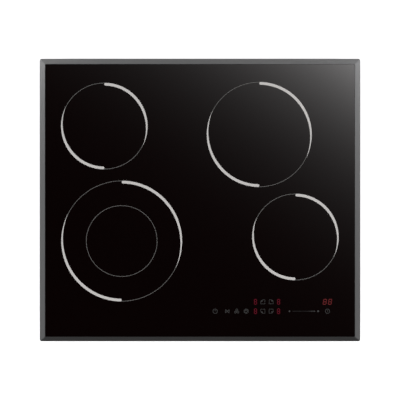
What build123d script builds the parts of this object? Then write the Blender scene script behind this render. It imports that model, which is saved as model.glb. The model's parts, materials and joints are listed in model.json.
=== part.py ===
from build123d import *
import os
from math import asin, atan2, cos, degrees, radians, sin

# Built-in four-zone induction hob, 60 cm class, touch controlled.
# Millimetres. +Z is up, +X is to the user's right, +Y is to the back.
# The origin is on the ground under the middle of the trim, with the hob standing on its feet.

os.makedirs("parts", exist_ok=True)

# ---------------------------------------------------------------- driving dimensions

HOB_WIDTH, HOB_DEPTH = 590, 520  # over the trim
CUTOUT_WIDTH, CUTOUT_DEPTH = 560, 490  # hole in the worktop
WORKTOP_Z = 50  # top face of the worktop
SHEET = 0.8  # steel sheet of the tray

# Heights above the worktop
SEAL_THICK = 1.5
LEG_THICK = 1.0
BOND_THICK = 0.5
GLASS_THICK = 4.0
LEG_Z = WORKTOP_Z + SEAL_THICK
LEDGE_Z = LEG_Z + LEG_THICK
GLASS_Z = LEDGE_Z + BOND_THICK
GLASS_TOP = GLASS_Z + GLASS_THICK
CREST_Z = GLASS_TOP + 0.9
PRINT_THICK = 0.15

# Trim: visible width of each side, and the ledge that carries the glass
TRIM_WIDTH = 10.0
TRIM_FRONT_WIDTH = 8.3
TRIM_OVERLAP = 2.2  # lip over the glass
TRIM_LEG = 32.0
TRIM_CORNER = 4.0
LIP_CORNER = 2.5
LIP_CHAMFER = 0.15

# Tray
FOOT_HEIGHT = 4.0
FLOOR_Z = FOOT_HEIGHT
FLOOR_TOP = FLOOR_Z + SHEET
TRAY_WIDTH, TRAY_DEPTH = CUTOUT_WIDTH - 9, CUTOUT_DEPTH - 9
TRAY_CORNER = 10
BEND = 1.6
HALF_X, HALF_Y = TRAY_WIDTH / 2, TRAY_DEPTH / 2

# Levels inside the tray
BOARD_Z, BOARD_THICK = 11.0, 1.6
BOARD_TOP = BOARD_Z + BOARD_THICK
PLATE_Z, PLATE_THICK = 34.0, 1.5
PLATE_TOP = PLATE_Z + PLATE_THICK
CARRIER_Z, CARRIER_THICK = 43.0, 4.0
WINDING_Z = CARRIER_Z + CARRIER_THICK
WINDING_THICK = 3.8
DISC_Z = WINDING_Z + WINDING_THICK

# Cooking zones: name, centre, printed radius, windings as (node, inner radius, outer radius)
ZONES = [
    ("rear_left", (-176, 136), 79.5, [("rear_left_winding", 20, 70)]),
    ("rear_right", (109, 120.5), 96.5, [("rear_right_winding", 22, 86)]),
    (
        "front_left",
        (-144, -75.5),
        111,
        [("front_left_inner_winding", 20, 58), ("front_left_outer_winding", 72, 100)],
    ),
    ("front_right", (175.5, -68), 79.5, [("front_right_winding", 20, 70)]),
]
INNER_RING_RADIUS = 65.5  # second printed ring of the two-circuit zone

# Fans, power boards and heat sinks, one set on each side
SIDES = {"left": -124, "right": 116}  # x of each fan's shaft
FAN_Y = 150
DUCT_SHIFT = -26  # the outlet duct and the heat sink lie this far beside the shaft
BOARD_SIZE = (214, 240)
BOARD_SHIFT = -9
BOARD_Y = -30

# Terminal bay, at the back on the right
BAY_X0, BAY_X1 = 172, 262
BAY_Y0, BAY_Y1 = 188, HALF_Y - SHEET
BAY_TOP = 33
BAY_WALL = 1.6
BLOCK_X = (BAY_X0 + BAY_X1) / 2
WINDOW_LOW, WINDOW_HIGH = 6.4, BAY_TOP - BAY_WALL
GROMMET_AT = (248, 222)
GROMMET_BORE, GROMMET_NECK, GROMMET_FLANGE, GROMMET_LIP = 6.0, 8.0, 10.5, 1.6
GROMMET_HOLE = GROMMET_NECK + 0.05
COVER_AXIS = (237.6, 8.8)  # y, z of the hinge pins

# Swivel clamps, in pockets of the tray's side walls
POCKET_DEPTH, POCKET_LENGTH, POCKET_TOP = 26, 68, 20
POCKET_END = 10  # from the clamp's pivot to the pocket's end
CLAMP_X = HALF_X - POCKET_DEPTH / 2
CLAMP_Y = 174
CLAMP_BOLT, BOLT_PLAY = 2.5, 0.08
BOLT_TOP = POCKET_TOP + 8
CLAMP_SIGNS = {
    "front_left": (-1, -1),
    "front_right": (1, -1),
    "rear_left": (-1, 1),
    "rear_right": (1, 1),
}

# Control panel
KEY_Y, KEY_UPPER_Y = -204.5, -187.2
ZONE_KEY_X = (115.6, 130.9)
DIGIT_X = (102.0, 144.5)
TIMER_X = (229.6, 239.2)


def save(piece, name):
    """Labels a finished piece and writes its STEP file."""
    piece.part.label = name
    export_step(piece.part, f"parts/{name}.step")


UP = Vector(0, 0, 1)
RIGHT, LEFT = Vector(1, 0, 0), Vector(-1, 0, 0)
BACK, FRONT = Vector(0, 1, 0), Vector(0, -1, 0)


def upright(outward, x, y, z):
    """A vertical plane at a point, facing outward, with its own y axis up."""
    return Plane((x, y, z), x_dir=UP.cross(outward), z_dir=outward)


def polar(angle, radius):
    """A point at a clockwise angle from the back, as the zone print is laid out."""
    return (radius * sin(radians(angle)), radius * cos(radians(angle)))


# ---------------------------------------------------------------- trim frame

TRIM_BARS = {  # outward direction, visible width, and the signs of the two corners
    "trim_rear": (BACK, TRIM_WIDTH, (-1, 1), (1, 1)),
    "trim_front": (FRONT, TRIM_FRONT_WIDTH, (-1, -1), (1, -1)),
    "trim_left": (LEFT, TRIM_WIDTH, (-1, -1), (-1, 1)),
    "trim_right": (RIGHT, TRIM_WIDTH, (1, -1), (1, 1)),
}
MITRE_REACH = 4  # in trim widths, past the end of the leg
OPENING = (HOB_WIDTH - 2 * TRIM_WIDTH, HOB_DEPTH - TRIM_WIDTH - TRIM_FRONT_WIDTH)
OPENING_Y = (TRIM_FRONT_WIDTH - TRIM_WIDTH) / 2
CHAMBER_Z = (LEDGE_Z + 0.5, LEDGE_Z + 2.1)


def chamber_span(width):
    """Near and far side of a bar's corner-key chamber, in proportion so that they meet on the mitre."""
    return 0.15 * width, 0.53 * width


def trim_profile(width):
    """Cross-section of a trim bar: x inward from the outer edge, y up.

    Its visible face is in proportion to its width, so that two bars meet all along the mitre.
    """
    glass_edge = width - TRIM_OVERLAP
    share = width / TRIM_WIDTH
    with BuildLine() as outline:
        start = Line((0, LEG_Z), (0, CREST_Z - 2.85))
        bend = ThreePointArc(start @ 1, (0.2 * share, CREST_Z - 2.6), (0.7 * share, CREST_Z - 2.3))
        bevel = Line(bend @ 1, (9.75 * share, CREST_Z - 0.05))
        crest = Line(bevel @ 1, (width + 2, CREST_Z))
        Polyline(
            crest @ 1,
            (width + 2, GLASS_TOP),
            (glass_edge, GLASS_TOP),
            (glass_edge, LEDGE_Z),
            (TRIM_LEG, LEDGE_Z),
            (TRIM_LEG, LEG_Z),
            (0, LEG_Z),
        )
    make_face(outline.edges())
    near, far = chamber_span(width)
    with Locations(((near + far) / 2, sum(CHAMBER_Z) / 2)):
        Rectangle(far - near, CHAMBER_Z[1] - CHAMBER_Z[0], mode=Mode.SUBTRACT)


def mitre_point(corner, share):
    """A point on a corner's mitre: share 0 is the outer corner, and share 1 the corner of the lip."""
    side_x, side_y = corner
    depth = TRIM_WIDTH if side_y > 0 else TRIM_FRONT_WIDTH
    return (
        side_x * (HOB_WIDTH / 2 - share * TRIM_WIDTH),
        side_y * (HOB_DEPTH / 2 - share * depth),
    )


for bar_name, (outward, bar_width, start, end) in TRIM_BARS.items():
    edge_x, edge_y = outward.X * HOB_WIDTH / 2, outward.Y * HOB_DEPTH / 2
    with BuildPart() as bar:
        with BuildSketch(upright(UP.cross(outward), edge_x, edge_y, 0)):
            trim_profile(bar_width)
        extrude(amount=HOB_WIDTH / 2, both=True)
        # both ends cut on the mitres
        with BuildSketch(Plane.XY.offset(LEG_Z)):
            near = [mitre_point(start, 0), mitre_point(end, 0)]
            Polygon(*near, mitre_point(end, MITRE_REACH), mitre_point(start, MITRE_REACH), align=None)
        extrude(amount=CREST_Z - LEG_Z, mode=Mode.INTERSECT)
        with BuildSketch(Plane.XY.offset(LEG_Z)):
            RectangleRounded(HOB_WIDTH, HOB_DEPTH, TRIM_CORNER)
        extrude(amount=CREST_Z - LEG_Z, mode=Mode.INTERSECT)
        with BuildSketch(Plane.XY.offset(GLASS_TOP)):
            with Locations((0, OPENING_Y)):
                RectangleRounded(*OPENING, LIP_CORNER)
        extrude(amount=CREST_Z - GLASS_TOP, mode=Mode.SUBTRACT)
        with BuildSketch(Plane.XY.offset(CREST_Z - LIP_CHAMFER)):
            with Locations((0, OPENING_Y)):
                RectangleRounded(*OPENING, LIP_CORNER)
        extrude(amount=2 * LIP_CHAMFER, taper=-45, mode=Mode.SUBTRACT)
    save(bar, bar_name)

with BuildPart() as corner_keys:
    key_length, key_gap = 24, 0.1
    side_near, side_far = chamber_span(TRIM_WIDTH)
    for end_y, end_width in ((1, TRIM_WIDTH), (-1, TRIM_FRONT_WIDTH)):
        near, far = chamber_span(end_width)
        for end_x in (-1, 1):
            arm_x = end_x * (HOB_WIDTH / 2 - (side_near + side_far) / 2)
            arm_y = end_y * (HOB_DEPTH / 2 - (near + far) / 2)
            with BuildSketch(Plane.XY.offset(CHAMBER_Z[0] + key_gap)):
                with Locations((arm_x, end_y * (HOB_DEPTH / 2 - near - key_length / 2))):
                    Rectangle(side_far - side_near - 2 * key_gap, key_length)
                with Locations(
                    (end_x * (HOB_WIDTH / 2 - side_near - key_length / 2), arm_y)
                ):
                    Rectangle(key_length, far - near - 2 * key_gap)
            extrude(amount=CHAMBER_Z[1] - CHAMBER_Z[0] - 2 * key_gap)
    # the keys stop short of the rounded outer corner of the frame
    with BuildSketch(Plane.XY.offset(WORKTOP_Z)):
        Rectangle(HOB_WIDTH - 2 * side_near - 0.2, HOB_DEPTH - 2 * side_near - 0.2)
    extrude(amount=10, mode=Mode.INTERSECT)
save(corner_keys, "trim_corner_keys")


# ---------------------------------------------------------------- glass, bond and seal

GLASS_WIDTH = HOB_WIDTH - 2 * (TRIM_WIDTH - TRIM_OVERLAP)
GLASS_DEPTH = HOB_DEPTH - TRIM_WIDTH - TRIM_FRONT_WIDTH + 2 * TRIM_OVERLAP

with BuildPart() as glass:
    with BuildSketch(Plane.XY.offset(GLASS_Z)):
        with Locations((0, OPENING_Y)):
            RectangleRounded(GLASS_WIDTH - 0.2, GLASS_DEPTH - 0.2, 3)
    extrude(amount=GLASS_THICK)
    chamfer(glass.faces().sort_by(Axis.Z)[0].edges(), 0.5)
save(glass, "glass_ceramic_panel")


def ring_of_strips(outer_x, outer_y, width, z, thick, centre_y=0):
    """Four strips butted into a rectangle, cut from one roll as tape and bead are."""
    with BuildPart() as strips:
        with BuildSketch(Plane.XY.offset(z)):
            for side in (-1, 1):
                with Locations((0, centre_y + side * (outer_y - width / 2))):
                    Rectangle(2 * outer_x, width)
                with Locations((side * (outer_x - width / 2), centre_y)):
                    Rectangle(width, 2 * (outer_y - width) - 0.4)
        extrude(amount=thick)
    return strips


bond = ring_of_strips(
    GLASS_WIDTH / 2 - 2, GLASS_DEPTH / 2 - 2, 8, LEDGE_Z, BOND_THICK, OPENING_Y
)
save(bond, "glass_adhesive")
seal = ring_of_strips(CUTOUT_WIDTH / 2 + 12, CUTOUT_DEPTH / 2 + 12, 10, WORKTOP_Z, SEAL_THICK)
save(seal, "worktop_seal")


# ---------------------------------------------------------------- print on the glass

LINE_WIDTH = 0.8
CRESCENT_WIDTH = 5.0
FULL_UNTIL, TIP_ANGLE = 40, 118  # degrees clockwise from each crescent's root


def crescent_width(angle):
    """Width of a crescent: constant at first, then thinning to nothing at the tip."""
    share = max(0, (angle - FULL_UNTIL) / (TIP_ANGLE - FULL_UNTIL))
    return CRESCENT_WIDTH * (1 - share**2)


def crescent(radius):
    """One bold crescent inside the printed ring, with a round root at the back of the zone."""
    middle = radius - CRESCENT_WIDTH / 2
    root = degrees(asin((CRESCENT_WIDTH / 2 - 0.4) / middle))
    steps = [FULL_UNTIL + (TIP_ANGLE - FULL_UNTIL) * k / 6 for k in range(7)]
    with BuildLine() as outline:
        CenterArc((0, 0), radius, 90 - TIP_ANGLE, TIP_ANGLE - root)
        CenterArc(polar(root, middle), CRESCENT_WIDTH / 2, 90 - root, 180)
        CenterArc((0, 0), radius - CRESCENT_WIDTH, 90 - FULL_UNTIL, FULL_UNTIL - root)
        Spline([polar(a, radius - crescent_width(a)) for a in steps])
    make_face(outline.edges())


def ring(radius):
    """A thin printed circle."""
    Circle(radius)
    Circle(radius - LINE_WIDTH, mode=Mode.SUBTRACT)


with BuildPart() as zone_print:
    for _, centre, radius, windings in ZONES:
        with BuildSketch(Plane((*centre, GLASS_TOP))):
            ring(radius)
        extrude(amount=PRINT_THICK)
        for turn in (0, 180):
            with BuildSketch(Plane((*centre, GLASS_TOP)).rotated((0, 0, turn))):
                crescent(radius)
            extrude(amount=PRINT_THICK)
        if len(windings) > 1:
            with BuildSketch(Plane((*centre, GLASS_TOP))):
                ring(INNER_RING_RADIUS)
            extrude(amount=PRINT_THICK)
save(zone_print, "zone_print")

STROKE = 0.8  # line width of the symbols
KEY_RADIUS = 4.4


def key_ring():
    Circle(KEY_RADIUS)
    Circle(KEY_RADIUS - STROKE, mode=Mode.SUBTRACT)


def power_symbol():
    """Broken ring with a bar through the break."""
    key_ring()
    with Locations((0, KEY_RADIUS)):
        Rectangle(2.0, 3, mode=Mode.SUBTRACT)
    with Locations((0, 2.2)):
        Rectangle(STROKE, 4.8)


def hold_symbol():
    """Bow tie, drawn as a cross between two end bars."""
    side_x, top = 3.7, 3.2
    diagonal = [(-side_x, -top), (1.1 - side_x, -top), (side_x, top), (side_x - 1.1, top)]
    for side in (-1, 1):
        with Locations((side * (side_x - STROKE / 2), 0)):
            Rectangle(STROKE, 2 * top)
        Polygon(*[(side * x, y) for x, y in diagonal], align=None)


def three_zone_symbol():
    """Three small rings in a triangle."""
    for angle in (0, 120, 240):
        x, y = polar(angle, 2.7)
        with Locations((x, y - 0.4)):
            Circle(2.1)
            Circle(2.1 - STROKE, mode=Mode.SUBTRACT)


def two_circuit_symbol():
    """Ring in a ring."""
    key_ring()
    Circle(2.7)
    Circle(2.7 - STROKE, mode=Mode.SUBTRACT)


def clock_symbol():
    """Dial with two hands."""
    key_ring()
    with Locations((0, 1.1)):
        Rectangle(STROKE, 3)
    with Locations((0.5, 0)):
        Rectangle(1.8, STROKE)


def zone_key_symbol(side_x, side_y):
    """Square of the hob with one corner left out, and a disc inside that corner."""
    size, line, notch, disc, inset = 8.2, 0.6, 2.4, 1.3, 1.7
    Rectangle(size, size)
    Rectangle(size - 2 * line, size - 2 * line, mode=Mode.SUBTRACT)
    with Locations((side_x * size / 2, side_y * size / 2)):
        Rectangle(2 * notch, 2 * notch, mode=Mode.SUBTRACT)
    with Locations((side_x * inset, side_y * inset)):
        Circle(disc)


def slider():
    """Track that widens over its last third, between two end dots."""
    for x, radius in zip(SLIDER_DOTS, (1.5, 1.7)):
        with Locations((x, 0)):
            Circle(radius)
    thin, wide, narrow, broad = -21.8, 20.5, 0.15, 0.8
    with Locations(((thin + wide) / 2, 0)):
        Rectangle(wide - thin, 2 * narrow)
    Polygon((6, narrow), (wide, broad), (wide, -broad), (6, -narrow), align=None)


SLIDER_X = 191.1
SLIDER_DOTS = (-26.5, 26.1)
SYMBOLS = [
    (27.8, KEY_Y, power_symbol),
    (50.1, KEY_Y, hold_symbol),
    (67.4, KEY_Y, three_zone_symbol),
    (84.9, KEY_Y, two_circuit_symbol),
    (SLIDER_X, KEY_Y, slider),
    (234.4, KEY_Y, clock_symbol),
]

with BuildPart() as control_print:
    for x, y, symbol in SYMBOLS:
        with BuildSketch(Plane((x, y, GLASS_TOP))):
            symbol()
        extrude(amount=PRINT_THICK)
    for side_x, x in zip((-1, 1), ZONE_KEY_X):
        for side_y, y in ((1, KEY_UPPER_Y), (-1, KEY_Y)):
            with BuildSketch(Plane((x, y, GLASS_TOP))):
                zone_key_symbol(side_x, side_y)
            extrude(amount=PRINT_THICK)
save(control_print, "control_print")


# ---------------------------------------------------------------- tray

BRACKET_X = (-200, 0, 200)  # brackets along the front and back walls
BRACKET_Y = (-190, 0, 190)  # brackets along the side walls
BRACKET_SCREW_Z = 44.5
BRACKET_WIDTH, BRACKET_THICK, BRACKET_SHELF, BRACKET_DROP = 18, 1.6, 9, 7
SCREW_RADIUS, SCREW_HOLE = 1.95, 2.2
CUT = 3  # depth of a cut that goes through a sheet
FOOT_RADIUS, FOOT_TAPER = 11, 20
BEAD_AT = [(x, y) for x in SIDES.values() for y in (-190, -20, 60)]
BEAD_SIZE, BEAD_HEIGHT, BEAD_TAPER = (150, 12), 1.2, 30
CLAMP_SITES = [(sx * CLAMP_X, sy * CLAMP_Y) for sx, sy in CLAMP_SIGNS.values()]
FOOT_AT = [(-228, -212), (228, -212), (-228, 212), (120, 212)]
SLOT_PITCH = 7.5
SLOT_WIDTH = 4.0
INTAKE_RADIUS = 30
OUTLET_SLOTS, OUTLET_HEIGHT, OUTLET_Z = 17, 22, 23


def wall_sites():
    """Planes on the outside of the tray's walls, facing outward, one at each bracket."""
    rows = [(BACK, BRACKET_X), (FRONT, BRACKET_X), (RIGHT, BRACKET_Y), (LEFT, BRACKET_Y)]
    sites = []
    for outward, places in rows:
        for place in places:
            x = place if outward.X == 0 else outward.X * HALF_X
            y = place if outward.Y == 0 else outward.Y * HALF_Y
            sites.append(upright(outward, x, y, BRACKET_SCREW_Z))
    return sites


def pocket_plan(extra_depth, extra_length, outward):
    """Rectangles of the four clamp pockets, seen from above."""
    for side_x, side_y in CLAMP_SIGNS.values():
        inner = HALF_X - POCKET_DEPTH - extra_depth
        outer = HALF_X + outward
        middle = side_y * (CLAMP_Y + POCKET_END - POCKET_LENGTH / 2)
        with Locations((side_x * (inner + outer) / 2, middle)):
            Rectangle(outer - inner, POCKET_LENGTH + 2 * extra_length)


def slots_in_circle(radius, pitch, width):
    """Parallel slots that fill a circle."""
    count = int(radius // pitch)
    for k in range(-count, count + 1):
        chord = 2 * (radius**2 - (k * pitch) ** 2) ** 0.5
        if chord > 3 * width:
            with Locations((0, k * pitch)):
                SlotOverall(chord, width)


with BuildPart() as tray:
    with BuildSketch(Plane.XY.offset(FLOOR_Z)):
        RectangleRounded(TRAY_WIDTH, TRAY_DEPTH, TRAY_CORNER)
    extrude(amount=LEG_Z - FLOOR_Z)
    fillet(tray.faces().sort_by(Axis.Z)[0].edges(), BEND)
    offset(amount=-SHEET, openings=tray.faces().sort_by(Axis.Z)[-1])
    # clamp pockets, open below and outward
    with BuildSketch(Plane.XY.offset(FLOOR_Z)):
        pocket_plan(SHEET, SHEET, 0)
    extrude(amount=POCKET_TOP + SHEET - FLOOR_Z)
    with BuildSketch(Plane.XY.offset(FLOOR_Z)):
        pocket_plan(0, 0, CUT)
    extrude(amount=POCKET_TOP - FLOOR_Z, mode=Mode.SUBTRACT)
    with BuildSketch(Plane.XY.offset(POCKET_TOP)):
        with Locations(*CLAMP_SITES):
            Circle(CLAMP_BOLT + 0.2)
    extrude(amount=CUT, mode=Mode.SUBTRACT)
    # pressed feet
    for foot in FOOT_AT:
        with BuildSketch(Plane((*foot, FLOOR_Z))):
            Circle(FOOT_RADIUS)
        extrude(amount=-FOOT_HEIGHT, taper=FOOT_TAPER)
        with BuildSketch(Plane((*foot, FLOOR_TOP))):
            Circle(FOOT_RADIUS - SHEET)
        extrude(amount=-FOOT_HEIGHT, taper=FOOT_TAPER, mode=Mode.SUBTRACT)
    # stiffening beads pressed up into the floor
    for bead in BEAD_AT:
        with BuildSketch(Plane((*bead, FLOOR_TOP))):
            SlotOverall(*BEAD_SIZE)
        extrude(amount=BEAD_HEIGHT, taper=BEAD_TAPER)
        with BuildSketch(Plane((*bead, FLOOR_Z))):
            SlotOverall(BEAD_SIZE[0] - 2 * SHEET, BEAD_SIZE[1] - 2 * SHEET)
        extrude(amount=BEAD_HEIGHT, taper=BEAD_TAPER, mode=Mode.SUBTRACT)
    # air intakes under the fans and outlets in the front wall
    for fan_x in SIDES.values():
        with BuildSketch(Plane((fan_x, FAN_Y, FLOOR_Z))):
            slots_in_circle(INTAKE_RADIUS, SLOT_PITCH, SLOT_WIDTH)
        extrude(amount=SHEET, mode=Mode.SUBTRACT)
        with BuildSketch(upright(FRONT, fan_x + DUCT_SHIFT, -HALF_Y, OUTLET_Z)):
            with GridLocations(SLOT_PITCH, 0, OUTLET_SLOTS, 1):
                SlotOverall(OUTLET_HEIGHT, SLOT_WIDTH, rotation=90)
        extrude(amount=-CUT, mode=Mode.SUBTRACT)
    # terminal bay: window in the back wall and the cable hole in the floor
    with BuildSketch(upright(BACK, BLOCK_X, HALF_Y, (WINDOW_LOW + WINDOW_HIGH) / 2)):
        Rectangle(BAY_X1 - BAY_X0 - 2 * BAY_WALL, WINDOW_HIGH - WINDOW_LOW)
    extrude(amount=-CUT, mode=Mode.SUBTRACT)
    with BuildSketch(Plane((*GROMMET_AT, FLOOR_Z))):
        Circle(GROMMET_HOLE)
    extrude(amount=SHEET, mode=Mode.SUBTRACT)
    # bracket screws
    for site in wall_sites():
        with BuildSketch(site):
            Circle(SCREW_HOLE)
        extrude(amount=-CUT, mode=Mode.SUBTRACT)
save(tray, "base_tray")

with BuildPart() as brackets:
    rise = LEG_Z - BRACKET_SCREW_Z  # from the screw to the trim
    for site in wall_sites():
        with BuildSketch(site.offset(-SHEET)):
            with Locations((0, (rise - BRACKET_DROP) / 2)):
                Rectangle(BRACKET_WIDTH, rise + BRACKET_DROP)
            Circle(SCREW_RADIUS + 0.05, mode=Mode.SUBTRACT)
        extrude(amount=-BRACKET_THICK)
        with BuildSketch(site.offset(-SHEET - BRACKET_THICK)):
            with Locations((0, rise - BRACKET_THICK / 2)):
                Rectangle(BRACKET_WIDTH, BRACKET_THICK)
        extrude(amount=-BRACKET_SHELF)
save(brackets, "side_brackets")


# ---------------------------------------------------------------- coil plate

COIL_PLATE = (510, 462)  # stops short of the clamp screws
POST_AT = [
    (-247, -218),
    (-247, 0),
    (-247, 222),
    (-8, -218),
    (-8, 0),
    (-8, 222),
    (247, -226),
    (247, 0),
    (160, 222),
]

# Where each pair of winding leads turns down to its power board
LEAD_DROPS = [
    ((-176, 136), 70, (-215, 67)),
    ((-144, -75.5), 100, (-215, 7)),
    ((-144, -75.5), 58, (-209, -75.5)),
    ((109, 120.5), 86, (160, 40)),
    ((175.5, -68), 70, (160, 9.5)),
]
RIBBON_AT = (124, -184)
RIBBON_SLOT = (28, 5)

with BuildPart() as plate:
    with BuildSketch(Plane.XY.offset(PLATE_Z)):
        RectangleRounded(*COIL_PLATE, 8)
        with Locations(*POST_AT):
            Circle(SCREW_HOLE, mode=Mode.SUBTRACT)
        for _, centre, _, windings in ZONES:
            reach = windings[-1][2]
            with Locations(centre):
                Circle(9, mode=Mode.SUBTRACT)
                with PolarLocations(reach * 0.55, 8):
                    SlotOverall(reach * 0.4, 9, mode=Mode.SUBTRACT)
        for centre, _, drop in LEAD_DROPS:
            turn = degrees(atan2(drop[1] - centre[1], drop[0] - centre[0])) + 90
            with Locations(Location((*drop, 0), (0, 0, turn))):
                SlotOverall(16, 7, mode=Mode.SUBTRACT)
        with Locations(RIBBON_AT):
            SlotOverall(*RIBBON_SLOT, mode=Mode.SUBTRACT)
    extrude(amount=PLATE_THICK)
save(plate, "coil_plate")

with BuildPart() as posts:
    with BuildSketch(Plane.XY.offset(FLOOR_TOP)):
        with Locations(*POST_AT):
            RegularPolygon(4, 6)
    extrude(amount=PLATE_Z - FLOOR_TOP)
    with BuildSketch(Plane.XY.offset(PLATE_Z)):
        with Locations(*POST_AT):
            Circle(SCREW_RADIUS + 0.05)
    extrude(amount=-10, mode=Mode.SUBTRACT)
save(posts, "plate_posts")

HEAD_RADIUS, HEAD_HEIGHT, SCREW_LENGTH = 3.7, 2.1, 8
CROSS_RECESS = (3.8, 0.9)
screw_seats = wall_sites() + [Plane((*post, PLATE_TOP)) for post in POST_AT]

with BuildPart() as case_screws:
    for seat in screw_seats:
        with BuildSketch(seat):
            Circle(HEAD_RADIUS)
        extrude(amount=HEAD_HEIGHT)
        with BuildSketch(seat.offset(HEAD_HEIGHT)):
            for turn in (0, 90):
                Rectangle(*CROSS_RECESS, rotation=turn)
        extrude(amount=-HEAD_HEIGHT / 2, mode=Mode.SUBTRACT)
        with BuildSketch(seat):
            Circle(SCREW_RADIUS)
        extrude(amount=-SCREW_LENGTH)
save(case_screws, "case_screws")


# ---------------------------------------------------------------- induction coils

ARMS = 8
ARM_TURN = 22.5
HUB_RADIUS, SENSOR_RADIUS = 16, 5.0
FERRITE_WIDTH, FERRITE_THICK = 7, 3
TURN_PITCH = 3.2


def ferrite_span(windings):
    """Start and length of the ferrite bars under a zone's windings."""
    return HUB_RADIUS + 2, windings[-1][2] - HUB_RADIUS - 4


for zone, centre, _, windings in ZONES:
    rim = windings[-1][2] + 3
    start, length = ferrite_span(windings)
    with BuildPart() as carrier:
        with BuildSketch(Plane((*centre, CARRIER_Z))):
            Circle(rim)
            Circle(rim - 5, mode=Mode.SUBTRACT)
            Circle(HUB_RADIUS)
            with PolarLocations((rim + HUB_RADIUS) / 2 - 2, ARMS, ARM_TURN):
                Rectangle(rim - HUB_RADIUS, FERRITE_WIDTH + 3)
            Circle(SENSOR_RADIUS + 0.2, mode=Mode.SUBTRACT)
        extrude(amount=CARRIER_THICK)
        with BuildSketch(Plane((*centre, CARRIER_Z))):
            with PolarLocations(start + length / 2, ARMS, ARM_TURN):
                Rectangle(length, FERRITE_WIDTH)
        extrude(amount=FERRITE_THICK + 0.1, mode=Mode.SUBTRACT)
    save(carrier, f"{zone}_coil_carrier")

with BuildPart() as ferrites:
    for _, centre, _, windings in ZONES:
        start, length = ferrite_span(windings)
        with BuildSketch(Plane((*centre, CARRIER_Z + 0.1))):
            with PolarLocations(start + length / 2, ARMS, ARM_TURN):
                Rectangle(length - 0.4, FERRITE_WIDTH - 0.4)
        extrude(amount=FERRITE_THICK)
save(ferrites, "ferrite_bars")


def winding_profile(inner, outer):
    """Section of a flat winding: turns side by side, with a groove between each two."""
    turns = round((outer - inner) / TURN_PITCH)
    pitch = (outer - inner) / turns
    groove = 0.5
    top = [(inner, 0), (inner, WINDING_THICK - groove)]
    for k in range(turns):
        left = inner + k * pitch
        top += [(left + groove, WINDING_THICK), (left + pitch - groove, WINDING_THICK)]
        top += [(left + pitch, WINDING_THICK - groove)]
    Polygon(*top, (outer, 0), align=None)


for _, centre, _, windings in ZONES:
    for node, inner, outer in windings:
        with BuildPart() as winding:
            with BuildSketch(upright(FRONT, *centre, WINDING_Z)):
                winding_profile(inner, outer)
            revolve(axis=Axis((*centre, 0), (0, 0, 1)))
        save(winding, node)

with BuildPart() as discs:
    for _, centre, _, windings in ZONES:
        with BuildSketch(Plane((*centre, DISC_Z))):
            Circle(windings[-1][2] + 2)
            Circle(SENSOR_RADIUS + 1, mode=Mode.SUBTRACT)
        extrude(amount=GLASS_Z - DISC_Z)
save(discs, "coil_insulation_discs")

with BuildPart() as sensors:
    for _, centre, _, _ in ZONES:
        with BuildSketch(Plane((*centre, CARRIER_Z))):
            Circle(SENSOR_RADIUS)
        extrude(amount=GLASS_Z - CARRIER_Z)
        with BuildSketch(Plane((*centre, CARRIER_Z))):
            Circle(SENSOR_RADIUS + 2)
        extrude(amount=-1.2)
save(sensors, "coil_temperature_sensors")

SPRING_RADIUS, SPRING_WIRE = 4.0, 0.5
SPRINGS_PER_COIL, SPRING_TURNS = 3, 4

with BuildPart() as springs:
    spring_sites = []
    for _, centre, _, windings in ZONES:
        rim = windings[-1][2] + 0.5
        for k in range(SPRINGS_PER_COIL):
            x, y = polar(120 * k + 60, rim)
            spring_sites.append((centre[0] + x, centre[1] + y, PLATE_TOP))
    height = CARRIER_Z - PLATE_TOP
    rise = height - 2 * SPRING_WIRE - 0.1
    for site in spring_sites:
        lift = Location((site[0], site[1], site[2] + SPRING_WIRE + 0.05))
        coil = Helix(pitch=rise / SPRING_TURNS, height=rise, radius=SPRING_RADIUS).moved(lift)
        with BuildSketch(Plane(coil @ 0, z_dir=coil % 0)):
            Circle(SPRING_WIRE)
        sweep(path=coil, is_frenet=True)
save(springs, "coil_springs")


# ---------------------------------------------------------------- power boards

BOARD_POSTS = [(-100, -112), (100, -112), (-100, 112), (100, 112), (-100, 0), (100, 0)]
SINK_SIZE = (96, 140)
SINK_Y = 10
SINK_TOP = 31
FINS = 12


def board_centre(side):
    return (SIDES[side] + BOARD_SHIFT, BOARD_Y)


def board_posts(side):
    x, y = board_centre(side)
    return [(x + dx, y + dy) for dx, dy in BOARD_POSTS]


for side in SIDES:
    with BuildPart() as board:
        with BuildSketch(Plane.XY.offset(BOARD_Z)):
            with Locations(board_centre(side)):
                RectangleRounded(*BOARD_SIZE, 3)
            with Locations(*board_posts(side)):
                Circle(1.9, mode=Mode.SUBTRACT)
        extrude(amount=BOARD_THICK)
    save(board, f"{side}_power_board")

    with BuildPart() as sink:
        sink_x = SIDES[side] + DUCT_SHIFT
        with BuildSketch(Plane((sink_x, SINK_Y, BOARD_TOP))):
            Rectangle(*SINK_SIZE)
        extrude(amount=5)
        with BuildSketch(Plane((sink_x, SINK_Y, BOARD_TOP + 5))):
            with GridLocations((SINK_SIZE[0] - 2) / (FINS - 1), 0, FINS, 1):
                Rectangle(2, SINK_SIZE[1])
        extrude(amount=SINK_TOP - BOARD_TOP - 5)
    save(sink, f"{side}_heatsink")

with BuildPart() as snap_posts:
    for side in SIDES:
        sites = board_posts(side)
        with BuildSketch(Plane.XY.offset(FLOOR_TOP)):
            with Locations(*sites):
                Circle(3.5)
        extrude(amount=BOARD_Z - FLOOR_TOP)
        with BuildSketch(Plane.XY.offset(BOARD_Z)):
            with Locations(*sites):
                Circle(1.8)
        extrude(amount=BOARD_THICK)
        with BuildSketch(Plane.XY.offset(BOARD_TOP)):
            with Locations(*sites):
                Circle(2.3)
        extrude(amount=2, taper=35)
save(snap_posts, "board_posts")

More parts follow.
